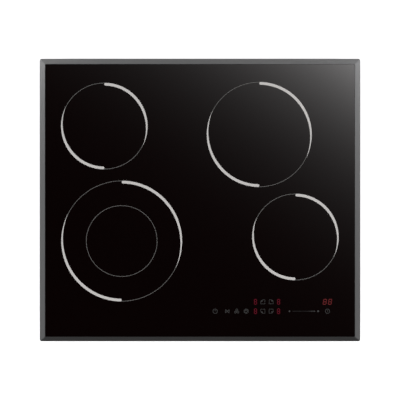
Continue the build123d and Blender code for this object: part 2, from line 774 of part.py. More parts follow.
with BuildPart() as transistors:
    for side in SIDES:
        face_x = SIDES[side] + DUCT_SHIFT - SINK_SIZE[0] / 2
        for k in range(5):
            y = SINK_Y - 52 + 26 * k
            with BuildSketch(Plane((face_x - 2.4, y, BOARD_TOP + 2.6))):
                Rectangle(4.6, 15.5)
            extrude(amount=15)
            with BuildSketch(Plane((face_x - 2.4, y, BOARD_TOP))):
                with GridLocations(0, 5, 1, 3):
                    Rectangle(0.8, 1.2)
            extrude(amount=2.6)
save(transistors, "power_transistors")

CAPACITOR_SIZE = (15, 26, 18)
with BuildPart() as capacitors:
    for side in SIDES:
        x, y = board_centre(side)
        with BuildSketch(Plane((x + 8, y - 88, BOARD_TOP))):
            with GridLocations(30, 0, 4, 1):
                RectangleRounded(CAPACITOR_SIZE[0], CAPACITOR_SIZE[1], 1.5)
        extrude(amount=CAPACITOR_SIZE[2])
save(capacitors, "film_capacitors")

with BuildPart() as chokes:
    for side in SIDES:
        x, y = board_centre(side)
        for choke_y in (y - 40, y - 6):
            with BuildSketch(Plane((x + 70, choke_y, BOARD_TOP))):
                Circle(14)
                Circle(6, mode=Mode.SUBTRACT)
            extrude(amount=13)
    top_and_bottom = chokes.edges().filter_by(GeomType.CIRCLE).group_by(Axis.Z)
    fillet(top_and_bottom[-1], 2.5)
save(chokes, "filter_chokes")


# ---------------------------------------------------------------- cooling fans

VOLUTE_RADIUS, VOLUTE_STEP = 40, 4
OUTLET_REACH = 56
CASE_WALL = 1.5
CASE_TOP = 29
SHAFT_RADIUS, SHAFT_PLAY = 1.5, 0.05
TUBE_RADIUS, TUBE_LENGTH = 3.2, 16  # carries the stator and the shaft
BLADES = 23
BLADE_TOP, BLADE_LOW = 24.4, 9.2
WHEEL_RADIUS, RIM_THICK = 35, 1.2
CUP_RADIUS, CUP_WALL = 14, 1.4
STATOR_Z, STATOR_HEIGHT, STATOR_RADIUS = 14, 9, 11
BLADE_CURVE = CenterArc((-4, -7), 9, 20, 62)  # seen from the middle of the blade


def volute(wall, reach):
    """Spiral of three quarter arcs of growing radius, with a straight duct towards the front."""
    step, first = VOLUTE_STEP, VOLUTE_RADIUS - wall
    left = -3 * step - first
    with BuildLine() as outline:
        a = CenterArc((0, 0), first, -90, 90)
        CenterArc((-step, 0), first + step, 0, 90)
        c = CenterArc((-step, -step), first + 2 * step, 90, 90)
        Polyline(c @ 1, (left, -first), a @ 0)
    make_face(outline.edges())
    with Locations(((left - wall) / 2, -reach / 2)):
        Rectangle(-wall - left, reach)


for side, fan_x in SIDES.items():
    with BuildPart() as case:
        with BuildSketch(Plane((fan_x, FAN_Y, FLOOR_TOP))):
            volute(0, OUTLET_REACH)
        extrude(amount=CASE_TOP - FLOOR_TOP)
        with BuildSketch(Plane((fan_x, FAN_Y, FLOOR_TOP + CASE_WALL))):
            volute(CASE_WALL, OUTLET_REACH + 2)
        extrude(amount=CASE_TOP - FLOOR_TOP - 2 * CASE_WALL, mode=Mode.SUBTRACT)
        with BuildSketch(Plane((fan_x, FAN_Y, FLOOR_TOP))):
            Circle(INTAKE_RADIUS)
        extrude(amount=CASE_WALL, mode=Mode.SUBTRACT)
        with BuildSketch(Plane((fan_x, FAN_Y, CASE_TOP))):
            Circle(TUBE_RADIUS)
        extrude(amount=-TUBE_LENGTH)
        with BuildSketch(Plane((fan_x, FAN_Y, CASE_TOP - CASE_WALL))):
            Circle(SHAFT_RADIUS + SHAFT_PLAY)
        extrude(amount=-20, mode=Mode.SUBTRACT)
    save(case, f"{side}_fan_housing")

    with BuildPart() as wheel:
        with BuildSketch(Plane((fan_x, FAN_Y, BLADE_TOP))):
            Circle(WHEEL_RADIUS)
        extrude(amount=RIM_THICK)
        with BuildSketch(Plane((fan_x, FAN_Y, BLADE_LOW))):
            with PolarLocations(WHEEL_RADIUS - 5, BLADES):
                SlotArc(BLADE_CURVE, 1.0)
        extrude(amount=BLADE_TOP - BLADE_LOW)
        with BuildSketch(Plane((fan_x, FAN_Y, BLADE_LOW))):
            Circle(WHEEL_RADIUS + 0.8)
            Circle(WHEEL_RADIUS - 3.5, mode=Mode.SUBTRACT)
        extrude(amount=-RIM_THICK)
        # motor cup over the stator, closed below and carrying the shaft
        with BuildSketch(Plane((fan_x, FAN_Y, BLADE_LOW))):
            Circle(CUP_RADIUS)
        extrude(amount=BLADE_TOP + RIM_THICK - BLADE_LOW)
        with BuildSketch(Plane((fan_x, FAN_Y, BLADE_LOW + CUP_WALL))):
            Circle(CUP_RADIUS - CUP_WALL)
        extrude(amount=BLADE_TOP + RIM_THICK - BLADE_LOW, mode=Mode.SUBTRACT)
        with BuildSketch(Plane((fan_x, FAN_Y, BLADE_LOW))):
            Circle(SHAFT_RADIUS)
        extrude(amount=CASE_TOP - CASE_WALL - 0.6 - BLADE_LOW)
    save(wheel, f"{side}_fan_impeller")

with BuildPart() as stators:
    for fan_x in SIDES.values():
        with BuildSketch(Plane((fan_x, FAN_Y, STATOR_Z))):
            Circle(STATOR_RADIUS)
            with PolarLocations(STATOR_RADIUS, 4, 45):
                Rectangle(7, 1.6, mode=Mode.SUBTRACT)
            Circle(TUBE_RADIUS + 0.05, mode=Mode.SUBTRACT)
        extrude(amount=STATOR_HEIGHT)
save(stators, "fan_motor_stators")


# ---------------------------------------------------------------- mains terminals

BLOCK_Y = BAY_Y0 + BAY_WALL
POLES = 5
POLE_PITCH = 13
BLOCK_Z, BLOCK_HEIGHT, BLOCK_DEPTH, FENCE_DEPTH = 17, 18, 8, 5
MAINS_WIRES = 3
WIRE_ENTRY_Z = 12
LEAD_RADIUS = 1.5
PIN_RADIUS, PIN_PLAY, PIN_LENGTH = 1.22, 0.08, 1.4

with BuildPart() as bay:
    bay_mid = (BLOCK_X, (BAY_Y0 + BAY_Y1) / 2)
    with BuildSketch(Plane((*bay_mid, FLOOR_TOP))):
        Rectangle(BAY_X1 - BAY_X0, BAY_Y1 - BAY_Y0)
    extrude(amount=BAY_TOP - FLOOR_TOP)
    # clear of the bend between the tray's floor and its back wall
    chamfer(bay.edges().filter_by(Axis.X).group_by(Axis.Y)[-1].sort_by(Axis.Z)[0], 1)
    with BuildSketch(Plane((bay_mid[0], bay_mid[1] + BAY_WALL, FLOOR_TOP + BAY_WALL))):
        Rectangle(BAY_X1 - BAY_X0 - 2 * BAY_WALL, BAY_Y1 - BAY_Y0)
    extrude(amount=BAY_TOP - FLOOR_TOP - 2 * BAY_WALL, mode=Mode.SUBTRACT)
    with BuildSketch(Plane((*GROMMET_AT, FLOOR_TOP))):
        Circle(GROMMET_HOLE)
    extrude(amount=BAY_WALL, mode=Mode.SUBTRACT)
    with BuildSketch(upright(RIGHT, BAY_X0, *COVER_AXIS)):
        Circle(PIN_RADIUS + PIN_PLAY)
    extrude(amount=BAY_X1 - BAY_X0, mode=Mode.SUBTRACT)
    with BuildSketch(upright(BACK, BLOCK_X, BAY_Y0, WIRE_ENTRY_Z)):
        with GridLocations(POLE_PITCH, 0, MAINS_WIRES, 1):
            Circle(LEAD_RADIUS + 0.2)
    extrude(amount=BAY_WALL, mode=Mode.SUBTRACT)
save(bay, "terminal_bay")

with BuildPart() as block:
    block_back = upright(BACK, BLOCK_X, BLOCK_Y, BLOCK_Z)
    with BuildSketch(block_back):
        RectangleRounded(POLES * POLE_PITCH + 6, BLOCK_HEIGHT, 1.5)
    extrude(amount=BLOCK_DEPTH)
    with BuildSketch(block_back.offset(BLOCK_DEPTH)):
        with GridLocations(POLE_PITCH, 0, POLES + 1, 1):
            Rectangle(1.6, BLOCK_HEIGHT)
    extrude(amount=FENCE_DEPTH)
    with BuildSketch(block_back.offset(BLOCK_DEPTH)):
        with GridLocations(POLE_PITCH, 0, POLES, 1):
            Circle(2.1)
    extrude(amount=-6, mode=Mode.SUBTRACT)
save(block, "terminal_block")

with BuildPart() as terminal_screws:
    face = block_back.offset(BLOCK_DEPTH)
    with BuildSketch(face):
        with GridLocations(POLE_PITCH, 0, POLES, 1):
            Rectangle(9, 9)
    extrude(amount=1)
    with BuildSketch(face.offset(1)):
        with GridLocations(POLE_PITCH, 0, POLES, 1):
            Circle(3.4)
    extrude(amount=2.2)
    with BuildSketch(face.offset(3.2)):
        with GridLocations(POLE_PITCH, 0, POLES, 1):
            Rectangle(7, 0.9)
    extrude(amount=-1.1, mode=Mode.SUBTRACT)
    with BuildSketch(face):
        with GridLocations(POLE_PITCH, 0, POLES, 1):
            Circle(2.0)
    extrude(amount=-5)
save(terminal_screws, "terminal_screws")

with BuildPart() as cover:
    axis_y, axis_z = COVER_AXIS
    cover_width = BAY_X1 - BAY_X0 - 2 * BAY_WALL - 0.8
    cover_top = WINDOW_HIGH - 0.5
    left_end = upright(RIGHT, BLOCK_X - cover_width / 2, axis_y, axis_z)
    with BuildSketch(left_end):
        Circle(1.6)
        with Locations((0.5, (cover_top - axis_z) / 2)):
            Rectangle(2.2, cover_top - axis_z)
    extrude(amount=cover_width)
    # raised field and finger tab on the outside
    with BuildSketch(upright(BACK, BLOCK_X, axis_y + 1.6, 20)):
        RectangleRounded(70, 14, 2)
    extrude(amount=0.6)
    with BuildSketch(upright(BACK, BLOCK_X, axis_y + 1.6, cover_top - 1.3)):
        RectangleRounded(16, 2.2, 0.8)
    extrude(amount=2.2)
    with BuildSketch(left_end.offset(-PIN_LENGTH)):
        Circle(PIN_RADIUS)
    extrude(amount=cover_width + 2 * PIN_LENGTH)
save(cover, "terminal_cover")

with BuildPart() as grommet:
    neck = SHEET + BAY_WALL
    with BuildSketch(Plane((*GROMMET_AT, FLOOR_Z))):
        Circle(GROMMET_NECK)
    extrude(amount=neck)
    with BuildSketch(Plane((*GROMMET_AT, FLOOR_Z)), Plane((*GROMMET_AT, FLOOR_Z + neck + GROMMET_LIP))):
        Circle(GROMMET_FLANGE)
    extrude(amount=-GROMMET_LIP)
    with BuildSketch(Plane((*GROMMET_AT, FLOOR_Z - GROMMET_LIP))):
        Circle(GROMMET_BORE)
    extrude(amount=neck + 2 * GROMMET_LIP, mode=Mode.SUBTRACT)
save(grommet, "cable_grommet")


# ---------------------------------------------------------------- control unit

CONTROL_X, CONTROL_Y = 133, -197
CONTROL_SIZE = (234, 46)
CONTROL_BOARD_Z = 41.0
CONTROL_BOARD_TOP = CONTROL_BOARD_Z + BOARD_THICK
CONTROL_WALL, CONTROL_HEIGHT = 1.5, 12
DIGIT_SIZE = (9, 13)
CONTROL_RIBS_X = (-108, -40, 40, 108)

with BuildPart() as control_carrier:
    inside = (CONTROL_SIZE[0] - 2 * CONTROL_WALL, CONTROL_SIZE[1] - 2 * CONTROL_WALL)
    with BuildSketch(Plane((CONTROL_X, CONTROL_Y, PLATE_TOP))):
        RectangleRounded(*CONTROL_SIZE, 3)
    extrude(amount=CONTROL_HEIGHT)
    with BuildSketch(Plane((CONTROL_X, CONTROL_Y, PLATE_TOP + CONTROL_WALL))):
        RectangleRounded(*inside, 1.5)
    extrude(amount=CONTROL_HEIGHT, mode=Mode.SUBTRACT)
    with BuildSketch(Plane((CONTROL_X, CONTROL_Y, PLATE_TOP + CONTROL_WALL))):
        for rib_x in CONTROL_RIBS_X:
            with Locations((rib_x, 0)):
                Rectangle(2 * CONTROL_WALL, inside[1])
    extrude(amount=CONTROL_BOARD_Z - PLATE_TOP - CONTROL_WALL)
    with BuildSketch(Plane((*RIBBON_AT, PLATE_TOP))):
        SlotOverall(*RIBBON_SLOT)
    extrude(amount=CONTROL_WALL, mode=Mode.SUBTRACT)
save(control_carrier, "control_carrier")

with BuildPart() as control_board:
    with BuildSketch(Plane((CONTROL_X, CONTROL_Y, CONTROL_BOARD_Z))):
        RectangleRounded(CONTROL_SIZE[0] - 4, CONTROL_SIZE[1] - 4, 1)
    extrude(amount=BOARD_THICK)
save(control_board, "control_board")

SLIDER_STEPS = (-16.8, -8.4, 0, 8.4, 16.8)
PAD_RADIUS = 3.6
PAD_AT = (
    [(x, y) for x, y, symbol in SYMBOLS if symbol is not slider]
    + [(x, y) for x in ZONE_KEY_X for y in (KEY_Y, KEY_UPPER_Y)]
    + [(SLIDER_X + dx, KEY_Y) for dx in SLIDER_DOTS + SLIDER_STEPS]
)

with BuildPart() as pads:
    with BuildSketch(Plane.XY.offset(CONTROL_BOARD_TOP)):
        with Locations(*PAD_AT):
            Circle(PAD_RADIUS)
    extrude(amount=GLASS_Z - CONTROL_BOARD_TOP)
save(pads, "touch_pads")

with BuildPart() as displays:
    with BuildSketch(Plane.XY.offset(CONTROL_BOARD_TOP)):
        with Locations(*[(x, y) for x in DIGIT_X for y in (KEY_Y, KEY_UPPER_Y)]):
            Rectangle(*DIGIT_SIZE)
        with Locations((sum(TIMER_X) / 2, KEY_UPPER_Y)):
            Rectangle(19.5, DIGIT_SIZE[1])
    extrude(amount=8)
save(displays, "led_displays")


# ---------------------------------------------------------------- worktop clamps

ARM_LENGTH, ARM_WIDTH, ARM_THICK = 49, 14, 2.5
ARM_Z = 8.2
HEAD_Z = ARM_Z - 0.1
TEETH, TOOTH_PITCH, TOOTH_DEPTH = 5, 3.5, 0.8
BOLT_HEAD = (4.6, 3.4)  # radius and height
BOLT_RECESS = (5.2, 1.0)

for corner, (side_x, side_y) in CLAMP_SIGNS.items():
    pivot = (side_x * CLAMP_X, side_y * CLAMP_Y)
    # the arm lies along the wall, towards the middle of the hob
    plan = Plane((*pivot, ARM_Z), x_dir=(0, -side_y, 0))
    with BuildPart() as clamp:
        with BuildSketch(plan):
            with Locations(((ARM_LENGTH - ARM_WIDTH) / 2, 0)):
                SlotOverall(ARM_LENGTH, ARM_WIDTH)
            Circle(CLAMP_BOLT + BOLT_PLAY, mode=Mode.SUBTRACT)
        extrude(amount=ARM_THICK)
        # teeth that bite into the underside of the worktop
        with BuildSketch(plan.offset(ARM_THICK)):
            with Locations((ARM_LENGTH - ARM_WIDTH - TOOTH_PITCH, 0)):
                with GridLocations(TOOTH_PITCH, 0, TEETH, 1):
                    Rectangle(TOOTH_PITCH / 2, ARM_WIDTH)
        extrude(amount=-TOOTH_DEPTH, mode=Mode.SUBTRACT)
    save(clamp, f"{corner}_clamp")

    with BuildPart() as bolt:
        with BuildSketch(Plane((*pivot, HEAD_Z))):
            Circle(BOLT_HEAD[0])
        extrude(amount=-BOLT_HEAD[1])
        with BuildSketch(Plane((*pivot, HEAD_Z - BOLT_HEAD[1]))):
            for turn in (0, 90):
                Rectangle(*BOLT_RECESS, rotation=turn)
        extrude(amount=BOLT_HEAD[1] / 2, mode=Mode.SUBTRACT)
        with BuildSketch(Plane((*pivot, HEAD_Z))):
            Circle(CLAMP_BOLT)
        extrude(amount=BOLT_TOP - HEAD_Z)
    save(bolt, f"{corner}_clamp_screw")

with BuildPart() as clamp_nuts:
    with BuildSketch(Plane.XY.offset(POCKET_TOP + SHEET)):
        with Locations(*CLAMP_SITES):
            RegularPolygon(4.4, 6)
            Circle(CLAMP_BOLT + BOLT_PLAY, mode=Mode.SUBTRACT)
    extrude(amount=4)
save(clamp_nuts, "clamp_nuts")


# ---------------------------------------------------------------- wiring inside the tray

LEAD_APART = 4.0
LEAD_Z = WINDING_Z + 2.0
MAINS_BOARD_X, MAINS_BOARD_Y, MAINS_Z = 197, 58, 19
RIBBON_WIDTH = 20
RIBBON_LOW, RIBBON_END_Y = 20, -140

with BuildPart() as wiring:
    for centre, rim, drop in LEAD_DROPS:
        out = Vector(drop[0] - centre[0], drop[1] - centre[1])
        heading = out.normalized()
        across = Vector(-heading.Y, heading.X)
        for side in (-1, 1):
            shift = across * (side * LEAD_APART)
            span = (rim**2 - LEAD_APART**2) ** 0.5  # where this lead meets the round rim
            first = Vector(*centre) + heading * (span + 0.3) + shift
            turn = Vector(*drop) + shift
            route = [
                first + Vector(0, 0, LEAD_Z),
                turn + Vector(0, 0, LEAD_Z),
                turn + Vector(0, 0, BOARD_TOP),
            ]
            run = (route[1] - route[0]).length
            with BuildLine() as lead_line:
                FilletPolyline(*route, radius=0.45 * run)
            with BuildSketch(Plane(lead_line.line @ 0, z_dir=lead_line.line % 0)):
                Circle(LEAD_RADIUS)
            sweep(path=lead_line.line)
    for k in range(MAINS_WIRES):
        block_x = BLOCK_X + (k - 1) * POLE_PITCH
        board_x = MAINS_BOARD_X + (k - 1) * 8
        with BuildLine() as mains_line:
            FilletPolyline(
                (block_x, BLOCK_Y, WIRE_ENTRY_Z),
                (block_x, BLOCK_Y - 14, WIRE_ENTRY_Z),
                (board_x, MAINS_BOARD_Y + 50, MAINS_Z),
                (board_x, MAINS_BOARD_Y, MAINS_Z),
                (board_x, MAINS_BOARD_Y, BOARD_TOP),
                radius=[12, 12, 2],
            )
        with BuildSketch(Plane(mains_line.line @ 0, z_dir=mains_line.line % 0)):
            Circle(LEAD_RADIUS)
        sweep(path=mains_line.line)
    # flat cable between the control board and the right power board
    with BuildSketch(upright(RIGHT, RIBBON_AT[0] - RIBBON_WIDTH / 2, 0, 0)):
        with BuildLine():
            FilletPolyline(
                (RIBBON_AT[1], CONTROL_BOARD_Z),
                (RIBBON_AT[1], RIBBON_LOW),
                (RIBBON_END_Y, RIBBON_LOW),
                (RIBBON_END_Y, BOARD_TOP),
                radius=4,
            )
        trace(line_width=0.9)
    extrude(amount=RIBBON_WIDTH)
save(wiring, "wiring_harness")
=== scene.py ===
"""Looks of a built-in induction hob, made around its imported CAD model.

Metres, in the CAD's frame: +Z is up, +X is to the user's right, +Y is to the back.
"""

import json
import math

import bmesh
import bpy
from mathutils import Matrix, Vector


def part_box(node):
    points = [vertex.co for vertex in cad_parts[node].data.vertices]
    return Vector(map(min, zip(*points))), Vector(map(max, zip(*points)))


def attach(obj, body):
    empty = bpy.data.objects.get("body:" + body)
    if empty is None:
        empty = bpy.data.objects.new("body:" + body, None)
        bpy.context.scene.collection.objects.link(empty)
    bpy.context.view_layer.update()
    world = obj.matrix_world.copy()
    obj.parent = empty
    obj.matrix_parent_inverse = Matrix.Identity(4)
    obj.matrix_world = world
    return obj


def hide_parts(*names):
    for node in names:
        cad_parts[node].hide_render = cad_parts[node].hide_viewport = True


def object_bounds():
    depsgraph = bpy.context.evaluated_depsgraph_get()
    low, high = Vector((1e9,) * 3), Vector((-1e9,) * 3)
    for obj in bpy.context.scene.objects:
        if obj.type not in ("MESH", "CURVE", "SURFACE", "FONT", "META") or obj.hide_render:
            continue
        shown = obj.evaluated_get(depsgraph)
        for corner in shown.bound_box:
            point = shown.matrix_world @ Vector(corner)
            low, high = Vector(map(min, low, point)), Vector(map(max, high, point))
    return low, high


MM = 0.001

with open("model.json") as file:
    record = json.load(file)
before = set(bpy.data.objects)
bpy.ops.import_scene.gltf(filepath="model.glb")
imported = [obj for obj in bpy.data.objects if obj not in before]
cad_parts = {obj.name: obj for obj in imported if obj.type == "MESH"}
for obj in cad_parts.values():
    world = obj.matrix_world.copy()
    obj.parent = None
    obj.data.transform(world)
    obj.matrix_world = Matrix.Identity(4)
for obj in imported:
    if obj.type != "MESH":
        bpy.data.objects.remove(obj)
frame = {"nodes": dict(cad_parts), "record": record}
nodes = frame["nodes"]
cad_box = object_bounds()

GLASS_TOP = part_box("glass_ceramic_panel")[1][2]


def centre_of(node):
    """Middle of a node's box, seen from above."""
    low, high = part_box(node)
    return Vector(((low[0] + high[0]) / 2, (low[1] + high[1]) / 2))


# ---------------------------------------------------------------- shader helpers


def add(tree, kind, inputs=None, **settings):
    """Adds a shader node. A value in inputs is a number, a colour, or a socket to link from."""
    new = tree.nodes.new(kind)
    for key, value in settings.items():
        setattr(new, key, value)
    for key, value in (inputs or {}).items():
        if isinstance(value, bpy.types.NodeSocket):
            tree.links.new(value, new.inputs[key])
        else:
            new.inputs[key].default_value = value
    return new


def rgba(colour):
    return (*colour, 1.0)


def new_material(name, colour, roughness, metallic=0.0, **inputs):
    """A Principled material. Further inputs are named with _ for a space.

    Returns the material, its tree and its shader.
    """
    material = bpy.data.materials.new(name)
    material.use_nodes = True
    tree = material.node_tree
    shader = tree.nodes["Principled BSDF"]
    shader.inputs["Base Color"].default_value = rgba(colour)
    shader.inputs["Roughness"].default_value = roughness
    shader.inputs["Metallic"].default_value = metallic
    for key, value in inputs.items():
        shader.inputs[key.replace("_", " ")].default_value = value
    return material, tree, shader


def coordinates(tree, scale=(1, 1, 1), rotation=(0, 0, 0), location=(0, 0, 0)):
    """Object coordinates in metres, stretched for a grain."""
    source = add(tree, "ShaderNodeTexCoord")
    inputs = {
        "Vector": source.outputs["Object"],
        "Scale": scale,
        "Rotation": rotation,
        "Location": location,
    }
    return add(tree, "ShaderNodeMapping", inputs).outputs["Vector"]


def noise(tree, vector, scale, detail=3.0, roughness=0.5):
    inputs = {"Vector": vector, "Scale": scale, "Detail": detail, "Roughness": roughness}
    return add(tree, "ShaderNodeTexNoise", inputs).outputs["Fac"]


def ramp(tree, factor, stops):
    """A colour ramp from (position, colour) stops."""
    band = add(tree, "ShaderNodeValToRGB", {"Fac": factor})
    elements = band.color_ramp.elements
    while len(elements) < len(stops):
        elements.new(0.5)
    for element, (position, colour) in zip(elements, stops):
        element.position = position
        element.color = rgba(colour)
    return band.outputs["Color"]


def spread(tree, factor, low, high, start=0.3, end=0.7):
    """Maps a noise, whose values bunch up around its middle, to a range."""
    inputs = {
        "Value": factor,
        "From Min": start,
        "From Max": end,
        "To Min": low,
        "To Max": high,
    }
    return add(tree, "ShaderNodeMapRange", inputs).outputs["Result"]


def tint(tree, shader, factor, dark, light, start=0.3, end=0.7):
    """Varies the base colour between two tones."""
    colour = ramp(tree, factor, [(start, dark), (end, light)])
    tree.links.new(colour, shader.inputs["Base Color"])


def relief(tree, shader, height, strength, depth):
    """Bump from a height of 0 to 1, over a real depth in metres."""
    inputs = {"Height": height, "Strength": strength, "Distance": depth}
    bump = add(tree, "ShaderNodeBump", inputs)
    tree.links.new(bump.outputs["Normal"], shader.inputs["Normal"])


def calc(tree, operation, a, b=0.0, c=0.0):
    return add(tree, "ShaderNodeMath", {0: a, 1: b, 2: c}, operation=operation).outputs[0]


def scaled(colour, share):
    return tuple(channel * share for channel in colour)


# ---------------------------------------------------------------- materials


def glass_ceramic():
    """Black glass-ceramic: near-black body, a polished face, faint smears and a fine fleck."""
    body = (0.0026, 0.0009, 0.0009)
    material, tree, shader = new_material("glass_ceramic", body, 0.04, IOR=1.5)
    cells = add(tree, "ShaderNodeTexVoronoi", {"Vector": coordinates(tree), "Scale": 1400.0})
    tint(tree, shader, cells.outputs["Distance"], scaled(body, 2), body)
    smear = noise(tree, coordinates(tree, (1, 2.2, 1)), 9.0, 5.0)
    tree.links.new(spread(tree, smear, 0.02, 0.045), shader.inputs["Roughness"])
    return material


def brushed_metal(name, colour, roughness, grain, contrast=0.12):
    """Metal with a grain drawn out along one axis of the object: "X", "Y" or "Z"."""
    material, tree, shader = new_material(name, colour, roughness, 1.0)
    along, across = 20.0, 2600.0
    stretch = [along if axis == grain else across for axis in "XYZ"]
    lines = noise(tree, coordinates(tree, stretch), 1.0, 2.0)
    cloud = noise(tree, coordinates(tree), 22.0, 4.0)
    both = calc(tree, "MULTIPLY_ADD", lines, 0.75, calc(tree, "MULTIPLY", cloud, 0.25))
    tint(tree, shader, both, scaled(colour, 1 - contrast), scaled(colour, 1 + contrast))
    tree.links.new(
        spread(tree, lines, roughness - 0.05, roughness + 0.06), shader.inputs["Roughness"]
    )
    relief(tree, shader, lines, 0.25, 0.02 * MM)
    return material


def galvanised_steel():
    """Zinc-coated sheet with its crystal spangle and a slight dullness in patches."""
    material, tree, shader = new_material("galvanised_steel", (0.60, 0.61, 0.62), 0.38, 1.0)
    place = coordinates(tree)
    spangle = add(tree, "ShaderNodeTexVoronoi", {"Vector": place, "Scale": 170.0})
    facet = add(tree, "ShaderNodeSeparateColor", {"Color": spangle.outputs["Color"]})
    shade = facet.outputs["Red"]
    tint(tree, shader, shade, (0.54, 0.55, 0.56), (0.68, 0.69, 0.70), 0.0, 1.0)
    dull = noise(tree, place, 14.0, 5.0)
    both = calc(tree, "MULTIPLY_ADD", shade, 0.10, spread(tree, dull, 0.26, 0.40))
    tree.links.new(both, shader.inputs["Roughness"])
    relief(tree, shader, noise(tree, place, 420.0, 3.0), 0.15, 0.05 * MM)
    return material


def enamel_print(name, colour, hatch=0.0):
    """Screen-printed enamel. The hatch is the fine raster of slanting lines in bold areas."""
    material, tree, shader = new_material(name, colour, 0.5)
    grain = noise(tree, coordinates(tree), 900.0, 2.0)
    if hatch:
        pitch = 2.4 * MM
        slant = coordinates(tree, rotation=(0, 0, math.radians(-65)))
        axes = add(tree, "ShaderNodeSeparateXYZ", {"Vector": slant})
        phase = calc(tree, "MULTIPLY", axes.outputs["X"], 2 * math.pi / pitch)
        wave = calc(tree, "MULTIPLY_ADD", calc(tree, "SINE", phase), 0.5, 0.5)
        factor = calc(tree, "MULTIPLY_ADD", grain, 0.2, calc(tree, "MULTIPLY", wave, 0.8))
        tint(tree, shader, factor, scaled(colour, 1 - hatch), colour, 0.2, 0.8)
    else:
        tint(tree, shader, grain, scaled(colour, 0.9), scaled(colour, 1.08))
    relief(tree, shader, grain, 0.3, 0.01 * MM)
    return material


def moulded_plastic(name, colour, roughness, texture=260.0):
    """Moulded plastic with an eroded grain and slight flow marks."""
    material, tree, shader = new_material(name, colour, roughness)
    place = coordinates(tree)
    pits = noise(tree, place, texture * 10, 3.0, 0.6)
    flow = noise(tree, coordinates(tree, (1, 3, 1)), 30.0, 4.0)
    tint(tree, shader, flow, scaled(colour, 0.85), scaled(colour, 1.12))
    tree.links.new(
        spread(tree, pits, roughness - 0.08, roughness + 0.08), shader.inputs["Roughness"]
    )
    relief(tree, shader, pits, 0.35, 0.04 * MM)
    return material


def circuit_board():
    """Solder mask over copper: darker ground, lighter tracks and a woven glass base."""
    material, tree, shader = new_material("circuit_board", (0.01, 0.09, 0.04), 0.32)
    place = coordinates(tree)
    tracks = add(
        tree,
        "ShaderNodeTexBrick",
        {
            "Vector": place,
            "Color1": rgba((0.012, 0.11, 0.045)),
            "Color2": rgba((0.016, 0.15, 0.06)),
            "Mortar": rgba((0.006, 0.055, 0.025)),
            "Scale": 90.0,
            "Mortar Size": 0.03,
            "Bias": -0.2,
        },
    )
    tree.links.new(tracks.outputs["Color"], shader.inputs["Base Color"])
    weave = add(tree, "ShaderNodeTexChecker", {"Vector": place, "Scale": 1800.0})
    height = calc(tree, "MULTIPLY_ADD", tracks.outputs["Fac"], -0.7, weave.outputs["Fac"])
    relief(tree, shader, height, 0.2, 0.03 * MM)
    return material


def litz_copper(name, centre):
    """Enamelled copper litz, wound round a centre: strands twist across each turn."""
    material, tree, shader = new_material(name, (0.62, 0.27, 0.12), 0.34, 0.85)
    place = coordinates(tree, location=(-centre.x, -centre.y, 0))
    axes = add(tree, "ShaderNodeSeparateXYZ", {"Vector": place})
    x, y = axes.outputs["X"], axes.outputs["Y"]
    angle = calc(tree, "ARCTAN2", y, x)
    squares = calc(tree, "MULTIPLY_ADD", x, x, calc(tree, "MULTIPLY", y, y))
    radius = calc(tree, "SQRT", squares)
    strands, lay = 180.0, 1500.0  # round a turn, and how far they slant across the winding
    twist = calc(tree, "MULTIPLY_ADD", angle, strands, calc(tree, "MULTIPLY", radius, lay))
    strand = calc(tree, "MULTIPLY_ADD", calc(tree, "SINE", twist), 0.5, 0.5)
    tint(tree, shader, strand, (0.40, 0.15, 0.06), (0.74, 0.36, 0.18), 0.1, 0.9)
    relief(tree, shader, strand, 0.6, 0.15 * MM)
    return material


def foam():
    """Closed-cell sealing foam."""
    material, tree, shader = new_material("sealing_foam", (0.035, 0.035, 0.037), 0.95)
    cells = add(tree, "ShaderNodeTexVoronoi", {"Vector": coordinates(tree), "Scale": 1500.0})
    wall = cells.outputs["Distance"]
    tint(tree, shader, wall, (0.015, 0.015, 0.016), (0.055, 0.055, 0.058), 0.1, 0.7)
    relief(tree, shader, wall, 0.8, 0.2 * MM)
    return material


def mica():
    """Pressed mica sheet with its flakes."""
    material, tree, shader = new_material("mica_sheet", (0.58, 0.52, 0.42), 0.42)
    flakes = add(tree, "ShaderNodeTexVoronoi", {"Vector": coordinates(tree), "Scale": 240.0})
    tone = add(tree, "ShaderNodeSeparateColor", {"Color": flakes.outputs["Color"]})
    tint(tree, shader, tone.outputs["Green"], (0.45, 0.39, 0.30), (0.70, 0.65, 0.55), 0.0, 1.0)
    relief(tree, shader, flakes.outputs["Distance"], 0.3, 0.05 * MM)
    return material


def mineral(name, colour, roughness):
    """Pressed and fired stuff, such as ferrite or a ceramic: a fine sandy grain."""
    material, tree, shader = new_material(name, colour, roughness)
    grain = noise(tree, coordinates(tree), 3500.0, 4.0, 0.7)
    tint(tree, shader, grain, scaled(colour, 0.75), scaled(colour, 1.2))
    relief(tree, shader, grain, 0.4, 0.03 * MM)
    return material


def glow(name, colour, strength):
    """A lit display segment, seen through the dark glass: a little uneven along its length."""
    unlit = (0.01, 0.001, 0.001)
    material, tree, shader = new_material(name, unlit, 0.3, Emission_Strength=strength)
    dots = noise(tree, coordinates(tree), 500.0, 1.0)
    light = ramp(tree, dots, [(0.3, scaled(colour, 0.85)), (0.7, colour)])
    tree.links.new(light, shader.inputs["Emission Color"])
    return material


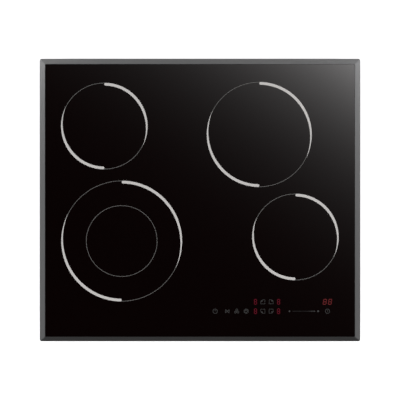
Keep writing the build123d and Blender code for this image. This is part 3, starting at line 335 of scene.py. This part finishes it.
TRIM_COLOUR = (0.40, 0.40, 0.405)
trim_along_x = brushed_metal("anodised_along_x", TRIM_COLOUR, 0.34, "X", 0.05)
trim_along_y = brushed_metal("anodised_along_y", TRIM_COLOUR, 0.34, "Y", 0.05)
ring_enamel = enamel_print("ring_enamel", (0.20, 0.195, 0.19))
bold_enamel = enamel_print("bold_enamel", (0.88, 0.85, 0.83), hatch=0.12)
symbol_enamel = enamel_print("symbol_enamel", (0.075, 0.075, 0.075))
black_silicone = moulded_plastic("black_silicone", (0.012, 0.012, 0.012), 0.5, 90.0)
digit_red = glow("digit_red", (0.106, 0.005, 0.014), 1.0)
timer_red = glow("timer_red", (0.135, 0.018, 0.020), 1.0)
label_film = moulded_plastic("label_film", (0.70, 0.70, 0.69), 0.4)

BY_SLOT = {
    "black_glass": glass_ceramic(),
    "trim_metal": trim_along_x,
    "zone_print": bold_enamel,
    "symbol_print": symbol_enamel,
    "tray_steel": galvanised_steel(),
    "screw_steel": brushed_metal("screw_steel", (0.55, 0.54, 0.50), 0.3, "Z"),
    "spring_steel": brushed_metal("spring_steel", (0.42, 0.42, 0.43), 0.28, "Z"),
    "plate_aluminium": brushed_metal("mill_aluminium", (0.70, 0.70, 0.71), 0.32, "Y"),
    "copper": brushed_metal("enamelled_copper", (0.62, 0.27, 0.12), 0.34, "Z", 0.2),
    "ferrite": mineral("ferrite", (0.035, 0.035, 0.038), 0.6),
    "mica": mica(),
    "sensor_ceramic": mineral("sensor_ceramic", (0.78, 0.76, 0.70), 0.55),
    "carrier_plastic": moulded_plastic("black_polyamide", (0.030, 0.030, 0.032), 0.5),
    "fan_plastic": moulded_plastic("fan_plastic", (0.018, 0.018, 0.019), 0.4),
    "nylon": moulded_plastic("natural_nylon", (0.72, 0.70, 0.64), 0.42),
    "circuit_board": circuit_board(),
    "capacitor_yellow": moulded_plastic("capacitor_case", (0.62, 0.38, 0.03), 0.35),
    "epoxy_black": moulded_plastic("moulding_compound", (0.02, 0.02, 0.02), 0.6),
    "display_black": moulded_plastic("display_body", (0.015, 0.013, 0.013), 0.3),
    "terminal_plastic": moulded_plastic("terminal_polyamide", (0.70, 0.69, 0.65), 0.45),
    "brass": brushed_metal("brass", (0.68, 0.50, 0.22), 0.28, "X"),
    "silicone": black_silicone,
    "seal_foam": foam(),
    "rubber": moulded_plastic("black_rubber", (0.02, 0.02, 0.02), 0.7, 140.0),
    "wire_insulation": moulded_plastic("wire_sleeve", (0.42, 0.035, 0.03), 0.5, 120.0),
}


def finish_of(node, slot):
    """The material of a CAD node."""
    if node in ("trim_left", "trim_right"):
        return trim_along_y
    if node.endswith("_winding"):
        return litz_copper(f"{node}_litz", centre_of(node))
    return BY_SLOT[slot]


for subpart in frame["record"]["subparts"]:
    shown = nodes[subpart["node"]]
    for material_slot in shown.material_slots:
        material_slot.material = finish_of(subpart["node"], subpart["material_slot"])


# ---------------------------------------------------------------- mesh helpers


def prism(mesh, outline, low, high):
    """A closed solid over a convex outline."""
    bottom = [mesh.verts.new((x, y, low)) for x, y in outline]
    top = [mesh.verts.new((x, y, high)) for x, y in outline]
    mesh.faces.new(top)
    mesh.faces.new(bottom[::-1])
    for k in range(len(outline)):
        j = (k + 1) % len(outline)
        mesh.faces.new((bottom[k], bottom[j], top[j], top[k]))


def band(mesh, outer, inner, low, high, closed):
    """A closed solid between two edges with as many points each, such as a ring or a crescent."""
    count = len(outer)
    rings = []
    for edge, z in ((outer, low), (outer, high), (inner, high), (inner, low)):
        rings.append([mesh.verts.new((x, y, z)) for x, y in edge])
    for k in range(count if closed else count - 1):
        j = (k + 1) % count
        for a, b in zip(rings, rings[1:] + rings[:1]):
            mesh.faces.new((a[k], a[j], b[j], b[k]))
    if not closed:
        mesh.faces.new([ring[0] for ring in rings])
        mesh.faces.new([ring[-1] for ring in rings[::-1]])


def piece(name, mesh, material, body="hob"):
    """Turns a bmesh into an object of the hob, riding on a body."""
    bmesh.ops.recalc_face_normals(mesh, faces=mesh.faces)
    data = bpy.data.meshes.new(name)
    mesh.to_mesh(data)
    mesh.free()
    data.materials.append(material)
    thing = bpy.data.objects.new(name, data)
    bpy.context.scene.collection.objects.link(thing)
    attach(thing, body)
    return thing


def rounded_rectangle(centre, width, depth, radius, steps=8):
    """Points round a rectangle with round corners."""
    points = []
    for quarter, (side_x, side_y) in enumerate(((1, 1), (-1, 1), (-1, -1), (1, -1))):
        corner_x = centre[0] + side_x * (width / 2 - radius)
        corner_y = centre[1] + side_y * (depth / 2 - radius)
        for k in range(steps + 1):
            turn = math.pi / 2 * (quarter + k / steps)
            points.append(
                (corner_x + radius * math.cos(turn), corner_y + radius * math.sin(turn))
            )
    return points


# ---------------------------------------------------------------- zone print

ZONE_RADII = {  # outer edge of each printed ring, by the winding it goes round
    "rear_left_winding": 79.5 * MM,
    "rear_right_winding": 96.5 * MM,
    "front_left_outer_winding": 111 * MM,
    "front_left_inner_winding": 65.5 * MM,
    "front_right_winding": 79.5 * MM,
}
PLAIN_RING = "front_left_inner_winding"  # has no crescents
LINE_WIDTH = 0.8 * MM
LINE_HEIGHT, BOLD_HEIGHT = 0.04 * MM, 0.06 * MM
CRESCENT_WIDTH = 5.0 * MM
FULL_UNTIL, TIP_ANGLE = 40, 118  # degrees clockwise from each crescent's root
CRESCENT_STARTS = (0, 180)  # degrees clockwise from the back
RING_STEPS, CRESCENT_STEPS, CAP_STEPS = 240, 100, 10


def on_ring(centre, radius, angle):
    """A point at a clockwise angle from the back."""
    turn = math.radians(angle)
    return (centre.x + radius * math.sin(turn), centre.y + radius * math.cos(turn))


def printed_ring(mesh, centre, radius):
    angles = [360 * k / RING_STEPS for k in range(RING_STEPS)]
    outer = [on_ring(centre, radius, a) for a in angles]
    inner = [on_ring(centre, radius - LINE_WIDTH, a) for a in angles]
    band(mesh, outer, inner, GLASS_TOP, GLASS_TOP + LINE_HEIGHT, closed=True)


def printed_crescent(mesh, centre, radius, start):
    """A bold crescent inside the ring: round at its root, full for a while, then thinning away."""
    half = CRESCENT_WIDTH / 2
    middle = radius - half
    root = math.degrees(half / middle)
    outer, inner = [], []
    for k in range(1, CAP_STEPS):
        turn = math.pi / 2 * k / CAP_STEPS
        angle = start + root * (1 - math.cos(turn))
        outer.append(on_ring(centre, middle + half * math.sin(turn), angle))
        inner.append(on_ring(centre, middle - half * math.sin(turn), angle))
    sweep = TIP_ANGLE - root
    for k in range(CRESCENT_STEPS):
        angle = root + sweep * k / CRESCENT_STEPS
        thinning = max(0, (angle - FULL_UNTIL) / (TIP_ANGLE - FULL_UNTIL)) ** 2
        outer.append(on_ring(centre, radius, start + angle))
        inner.append(on_ring(centre, radius - CRESCENT_WIDTH * (1 - thinning), start + angle))
    band(mesh, outer, inner, GLASS_TOP, GLASS_TOP + BOLD_HEIGHT, closed=False)


def make_zone_print():
    rings, crescents = bmesh.new(), bmesh.new()
    for winding, radius in ZONE_RADII.items():
        centre = centre_of(winding)
        printed_ring(rings, centre, radius)
        if winding != PLAIN_RING:
            for start in CRESCENT_STARTS:
                printed_crescent(crescents, centre, radius, start)
    thin = piece("zone_rings", rings, ring_enamel)
    bold = piece("zone_crescents", crescents, bold_enamel)
    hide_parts("zone_print")
    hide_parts("zone_print")


make_zone_print()


# ---------------------------------------------------------------- lit digits

DISPLAY_LOW, DISPLAY_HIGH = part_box("led_displays")
DISPLAY_SIZE = Vector((9, 13)) * MM  # of each zone's display
DISPLAY_APART = 42.5 * MM  # from the left pair of zone digits to the right pair
TIMER_MIDDLE = DISPLAY_HIGH[0] - 9.75 * MM
TIMER_APART = 9.6 * MM
TIMER_SLANT = 0.16  # how far the timer's digits lean to the right, per height
ZONE_DIGIT = Vector((5.4, 10.2)) * MM
TIMER_DIGIT = Vector((6.6, 10.6)) * MM
SEGMENT_WIDTH = 1.25 * MM
SEGMENT_GAP = 0.3 * MM
SEGMENT_HEIGHT = 0.03 * MM


def segment(x, y, length, upright):
    """Outline of one bar with pointed ends."""
    half, tip = length / 2, SEGMENT_WIDTH / 2
    outline = [(-half, 0), (-half + tip, tip), (half - tip, tip)]
    outline += [(-a, -b) for a, b in outline]
    return [(x - b, y + a) if upright else (x + a, y + b) for a, b in outline]


def figure_eight(mesh, place, size, slant=0.0):
    """A seven-segment figure with all its segments lit."""
    bar, post = size.x - SEGMENT_WIDTH, (size.y - SEGMENT_WIDTH) / 2
    outlines = [segment(0, level * post, bar - SEGMENT_GAP, False) for level in (-1, 0, 1)]
    for side in (-0.5, 0.5):
        for level in (-0.5, 0.5):
            outlines.append(segment(side * bar, level * post, post - SEGMENT_GAP, True))
    for outline in outlines:
        leaning = [(place[0] + x + slant * y, place[1] + y) for x, y in outline]
        prism(mesh, leaning, GLASS_TOP, GLASS_TOP + SEGMENT_HEIGHT)


def make_digits():
    zones, timer = bmesh.new(), bmesh.new()
    left_x = DISPLAY_LOW[0] + DISPLAY_SIZE.x / 2
    low_y = DISPLAY_LOW[1] + DISPLAY_SIZE.y / 2
    high_y = DISPLAY_HIGH[1] - DISPLAY_SIZE.y / 2
    for x in (left_x, left_x + DISPLAY_APART):
        for y in (low_y, high_y):
            figure_eight(zones, (x, y), ZONE_DIGIT)
    for side in (-0.5, 0.5):
        place = (TIMER_MIDDLE + side * TIMER_APART, high_y)
        figure_eight(timer, place, TIMER_DIGIT, TIMER_SLANT)
    piece("zone_digits", zones, digit_red)
    piece("timer_digits", timer, timer_red)


make_digits()


# ---------------------------------------------------------------- seam and plate

SIDE_WIDTH, FRONT_WIDTH = 10.0 * MM, 8.3 * MM  # visible trim
LIP_CORNER = 2.5 * MM
# The bead's visible width is partly painted shade: a black strip laid where the lip's shadow gap
# falls, besides the real silicone seal.
BEAD, BEAD_HIDDEN, BEAD_HEIGHT = 0.45 * MM, 0.1 * MM, 0.3 * MM


def make_lip_seal_and_shadow_gap():
    """The black bead of silicone that shows between the trim's lip and the glass: a real seal,
    whose black strip also serves as painted shade for the shadow gap along the lip.
    """
    low, high = cad_box
    width = high[0] - low[0] - 2 * SIDE_WIDTH
    depth = high[1] - low[1] - SIDE_WIDTH - FRONT_WIDTH
    middle = ((low[0] + high[0]) / 2, (low[1] + high[1] + FRONT_WIDTH - SIDE_WIDTH) / 2)
    edges = []
    for grow in (BEAD_HIDDEN, -BEAD):
        edge = rounded_rectangle(middle, width + 2 * grow, depth + 2 * grow, LIP_CORNER + grow)
        edges.append(edge)
    bead = bmesh.new()
    band(bead, *edges, GLASS_TOP, GLASS_TOP + BEAD_HEIGHT, closed=True)
    piece("lip_seal_and_shadow_gap", bead, black_silicone)


PLATE_SIZE, PLATE_CORNER, PLATE_THICK = Vector((90, 40)) * MM, 3 * MM, 0.25 * MM
PLATE_FROM_FRONT = 390 * MM  # of the tray, to the plate's middle
FRAME_INSET, FRAME_LINE, FRAME_THICK = 2 * MM, 0.5 * MM, 0.04 * MM
TRAY_UNDERSIDE = 4 * MM  # of its floor, over the pressed feet


def make_rating_plate():
    """The blank film label under the tray's floor, with its printed frame."""
    middle = (centre_of("base_tray").x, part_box("base_tray")[0][1] + PLATE_FROM_FRONT)
    face = TRAY_UNDERSIDE - PLATE_THICK
    plate, border = bmesh.new(), bmesh.new()
    prism(plate, rounded_rectangle(middle, *PLATE_SIZE, PLATE_CORNER), face, TRAY_UNDERSIDE)
    edges = []
    for inset, corner in ((FRAME_INSET, 2 * MM), (FRAME_INSET + FRAME_LINE, 1.5 * MM)):
        width, depth = PLATE_SIZE.x - 2 * inset, PLATE_SIZE.y - 2 * inset
        edges.append(rounded_rectangle(middle, width, depth, corner))
    band(border, *edges, face - FRAME_THICK, face, closed=True)
    piece("rating_plate", plate, label_film)
    piece("rating_plate_frame", border, symbol_enamel)


make_lip_seal_and_shadow_gap()
make_rating_plate()


# ---------------------------------------------------------------- camera

PICTURE_WIDTH = 0.7356  # what the picture spans at the height of the glass
LENS, SENSOR = 135.0, 36.0
CAMERA_RISE = PICTURE_WIDTH * LENS / SENSOR  # above the glass


def make_camera():
    data = bpy.data.cameras.new("camera")
    data.lens = LENS
    data.sensor_width = SENSOR
    data.clip_end = 50
    camera = bpy.data.objects.new("camera", data)
    camera.location = (0, 0, GLASS_TOP + CAMERA_RISE)
    bpy.context.scene.collection.objects.link(camera)
    bpy.context.scene.camera = camera


make_camera()


# ---------------------------------------------------------------- studio

FLOOR_REACH, FLOOR_GLOW = 12.0, 0.76


def make_floor():
    """White sweep that burns out evenly, as a cut-out product picture has it."""
    mesh = bmesh.new()
    bmesh.ops.create_grid(mesh, x_segments=1, y_segments=1, size=FLOOR_REACH)
    data = bpy.data.meshes.new("floor")
    mesh.to_mesh(data)
    mesh.free()
    white = rgba((1, 1, 1))
    material, _, _ = new_material(
        "studio_floor", (0.86, 0.86, 0.86), 0.9, Emission_Color=white, Emission_Strength=FLOOR_GLOW
    )
    data.materials.append(material)
    floor = bpy.data.objects.new("floor", data)
    floor.visible_glossy = False
    bpy.context.scene.collection.objects.link(floor)


BACKDROP_RADIUS = 11.0
WORLD_TONE = 0.39
SKY = [(0.0, 1.7), (0.15, 0.45), (0.5, 0.3), (0.78, 1.0), (0.86, 1.0), (0.97, 0.0)]  # by height
FLAG_AIM = (0, -0.62, 0.78)  # where the front trim bar mirrors the studio


def make_backdrop():
    """A pale wall all round for views from lower down. Only the camera sees it."""
    mesh = bmesh.new()
    bmesh.ops.create_cone(
        mesh, segments=96, radius1=BACKDROP_RADIUS, radius2=BACKDROP_RADIUS, depth=BACKDROP_RADIUS
    )
    data = bpy.data.meshes.new("backdrop")
    mesh.to_mesh(data)
    mesh.free()
    pale = rgba((0.80, 0.81, 0.82))
    material, _, _ = new_material(
        "studio_wall", (0.0, 0.0, 0.0), 1.0, Emission_Color=pale, Emission_Strength=1.0
    )
    data.materials.append(material)
    wall = bpy.data.objects.new("backdrop", data)
    wall.visible_glossy = False
    wall.visible_diffuse = False
    wall.visible_transmission = False
    wall.visible_shadow = False
    bpy.context.scene.collection.objects.link(wall)


def make_world():
    """An even grey studio. Black flags overhead and over the user's side darken what the glass
    and the front trim bar mirror."""
    world = bpy.data.worlds.new("studio")
    world.use_nodes = True
    bpy.context.scene.world = world
    tree = world.node_tree
    direction = add(tree, "ShaderNodeTexCoord").outputs["Generated"]
    axes = add(tree, "ShaderNodeSeparateXYZ", {"Vector": direction}).outputs
    stops = [(height, scaled((1.0, 1.0, 1.0), WORLD_TONE * share)) for height, share in SKY]
    sky = ramp(tree, axes["Z"], stops)
    aim = add(
        tree, "ShaderNodeVectorMath", {0: direction, 1: FLAG_AIM}, operation="DOT_PRODUCT"
    ).outputs["Value"]
    flag = spread(tree, aim, 1.0, 0.2, 0.76, 0.94)
    rear = spread(tree, axes["Y"], 1.0, 0.76, 0.2, 0.6)
    shade = calc(tree, "MULTIPLY", flag, rear)
    mixed = add(tree, "ShaderNodeVectorMath", {0: sky, 1: shade}, operation="MULTIPLY")
    tree.links.new(mixed.outputs["Vector"], tree.nodes["Background"].inputs["Color"])


def area_light(name, place, target, size, power):
    """A square softbox."""
    data = bpy.data.lights.new(name, "AREA")
    data.shape = "SQUARE"
    data.size = size
    data.energy = power
    light = bpy.data.objects.new(name, data)
    light.location = place
    light.rotation_euler = (Vector(target) - Vector(place)).to_track_quat("-Z", "Y").to_euler()
    bpy.context.scene.collection.objects.link(light)
    return light


CARD_RISE = 1.2  # of the graduated card, above the glass
CARD_PEAK = 4.4  # its brightness over the glass's rear right corner
FADE_X, FADE_Y = 7.3, 10.9  # how fast the reflection fades along the glass, per metre
FADE_BEYOND = -12.0  # how fast it fades past that corner, per metre
CARD_SPARE = 0.35


def make_graduated_card():
    """A softbox that fades from one corner: the glass mirrors it from rear right to front left."""
    low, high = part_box("glass_ceramic_panel")
    stretch = 1 + CARD_RISE / CAMERA_RISE  # a point on the glass mirrors this much further out
    corner = (high[0] * stretch, high[1] * stretch)
    data = bpy.data.meshes.new("graduated_card")
    left, front = low[0] * stretch, low[1] * stretch
    right, back = corner[0] + CARD_SPARE, corner[1] + CARD_SPARE
    z = GLASS_TOP + CARD_RISE
    corners = [(left, front, z), (right, front, z), (right, back, z), (left, back, z)]
    data.from_pydata(corners, [], [(3, 2, 1, 0)])
    material = bpy.data.materials.new("graduated_light")
    material.use_nodes = True
    tree = material.node_tree
    tree.nodes.clear()
    place = add(tree, "ShaderNodeTexCoord").outputs["Object"]
    axes = add(tree, "ShaderNodeSeparateXYZ", {"Vector": place})
    fades = []
    for axis, edge, fade in (("X", corner[0], FADE_X), ("Y", corner[1], FADE_Y)):
        inside = calc(tree, "SUBTRACT", axes.outputs[axis], edge)
        rising = calc(tree, "MULTIPLY", calc(tree, "MINIMUM", inside, 0.0), fade / stretch)
        beyond = calc(tree, "MULTIPLY", calc(tree, "MAXIMUM", inside, 0.0), FADE_BEYOND)
        fades.append(calc(tree, "ADD", rising, beyond))
    share = calc(tree, "EXPONENT", calc(tree, "ADD", fades[0], fades[1]))
    strength = calc(tree, "MULTIPLY", share, CARD_PEAK)
    warm = rgba((1.0, 0.985, 0.985))
    emission = add(tree, "ShaderNodeEmission", {"Color": warm, "Strength": strength})
    output = add(tree, "ShaderNodeOutputMaterial")
    tree.links.new(emission.outputs["Emission"], output.inputs["Surface"])
    data.materials.append(material)
    card = bpy.data.objects.new("graduated_card", data)
    bpy.context.scene.collection.objects.link(card)
    card.visible_camera = False
    card.visible_diffuse = False
    card.visible_shadow = False


# Each pair of lights is mirrored to the left: place and aim on the right, size and watts
SIDE_BOX = ((0.95, 0.80, 1.15), (0.25, 0.20, GLASS_TOP), 0.5, 2.7)
FILL = ((1.6, -1.6, 1.9), (0.0, 0.0, 0.0), 0.9, 24.0)


def mirrored(point, side):
    return (side * point[0], point[1], point[2])


def make_studio():
    make_floor()
    make_backdrop()
    make_world()
    make_graduated_card()
    for side, label in ((-1, "left"), (1, "right")):
        for kind, (place, aim, size, power) in (("side_box", SIDE_BOX), ("fill", FILL)):
            spot = mirrored(place, side)
            light = area_light(f"{kind}_{label}", spot, mirrored(aim, side), size, power)
            light.visible_glossy = kind != "fill"
    bpy.context.scene.view_settings.view_transform = "Standard"


make_studio()
